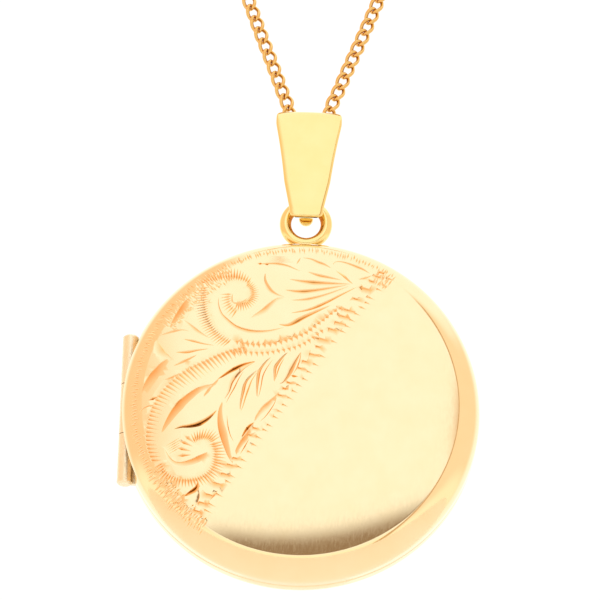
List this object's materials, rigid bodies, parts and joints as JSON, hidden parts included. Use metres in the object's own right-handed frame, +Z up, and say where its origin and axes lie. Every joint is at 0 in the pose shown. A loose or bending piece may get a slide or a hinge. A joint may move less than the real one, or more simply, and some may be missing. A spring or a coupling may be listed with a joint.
{
  "type": "locket",
  "caption": "Round domed hinged locket on a tapered folded bail and pendant ring, with picture wells inside, hung on a fine curb chain that ends in a bolt ring clasp.",
  "frame": {"origin": "middle of the chain where it sits in the crest of the bail", "axes": "+X to the right of someone facing the engraved cover, +Y behind the locket, +Z up along the hanging chain and locket"},
  "size_m": [0.025, 0.0064, 0.0554],
  "materials": {
    "polished_gold": "mirror polished",
    "engraved_gold": "polished with bright-cut hand engraving",
    "inner_gold": "satin",
    "hinge_gold": "filed and lightly polished",
    "chain_gold": "polished wire",
    "clasp_gold": "polished",
    "spring_steel": "drawn wire",
    "picture_card": "matt card",
    "clear_window": "clear gloss sheet"
  },
  "bodies": {
    "neck_chain": {"chain": "chain_gold", "clasp_jump_ring": "chain_gold", "clasp_ring": "clasp_gold", "clasp_spring": "spring_steel", "end_ring": "chain_gold"},
    "clasp_slide": {"clasp_bolt": "clasp_gold"},
    "bail_loop": {"bail": "polished_gold"},
    "case_back": {"pendant_ring": "polished_gold", "ring_seat": "polished_gold", "back_cover": "polished_gold", "back_mouth_plate": "inner_gold", "back_picture": "picture_card", "back_window": "clear_window", "back_picture_frame": "inner_gold", "snap_rim": "inner_gold", "back_knuckle_upper": "hinge_gold", "back_knuckle_lower": "hinge_gold", "hinge_pin": "hinge_gold"},
    "case_front": {"front_cover": "engraved_gold", "front_mouth_plate": "inner_gold", "front_picture": "picture_card", "front_window": "clear_window", "front_picture_frame": "inner_gold", "front_knuckle": "hinge_gold"}
  },
  "joints": [
    {"name": "bail_swing", "type": "hinge", "parent": "neck_chain", "child": "bail_loop", "pos_m": [0, 0, 0], "axis": [1, 0, 0], "range_deg": [-35, 85]},
    {"name": "pendant_swing", "type": "hinge", "parent": "bail_loop", "child": "case_back", "pos_m": [0, 0, -0.00622], "axis": [1, 0, 0], "range_deg": [-15, 75]},
    {"name": "cover_hinge", "type": "hinge", "parent": "case_back", "child": "case_front", "pos_m": [-0.012, -0.0005, -0.0222], "axis": [0, 0, -1], "range_deg": [0, 135]},
    {"name": "clasp_bolt_slide", "type": "hinge", "parent": "neck_chain", "child": "clasp_slide", "pos_m": [-0.00752, 0.001, 0.0182], "axis": [0, -1, 0], "range_deg": [0, 46], "stiffness_Nm_per_rad": 0.002, "springref_deg": -11.46}
  ]
}
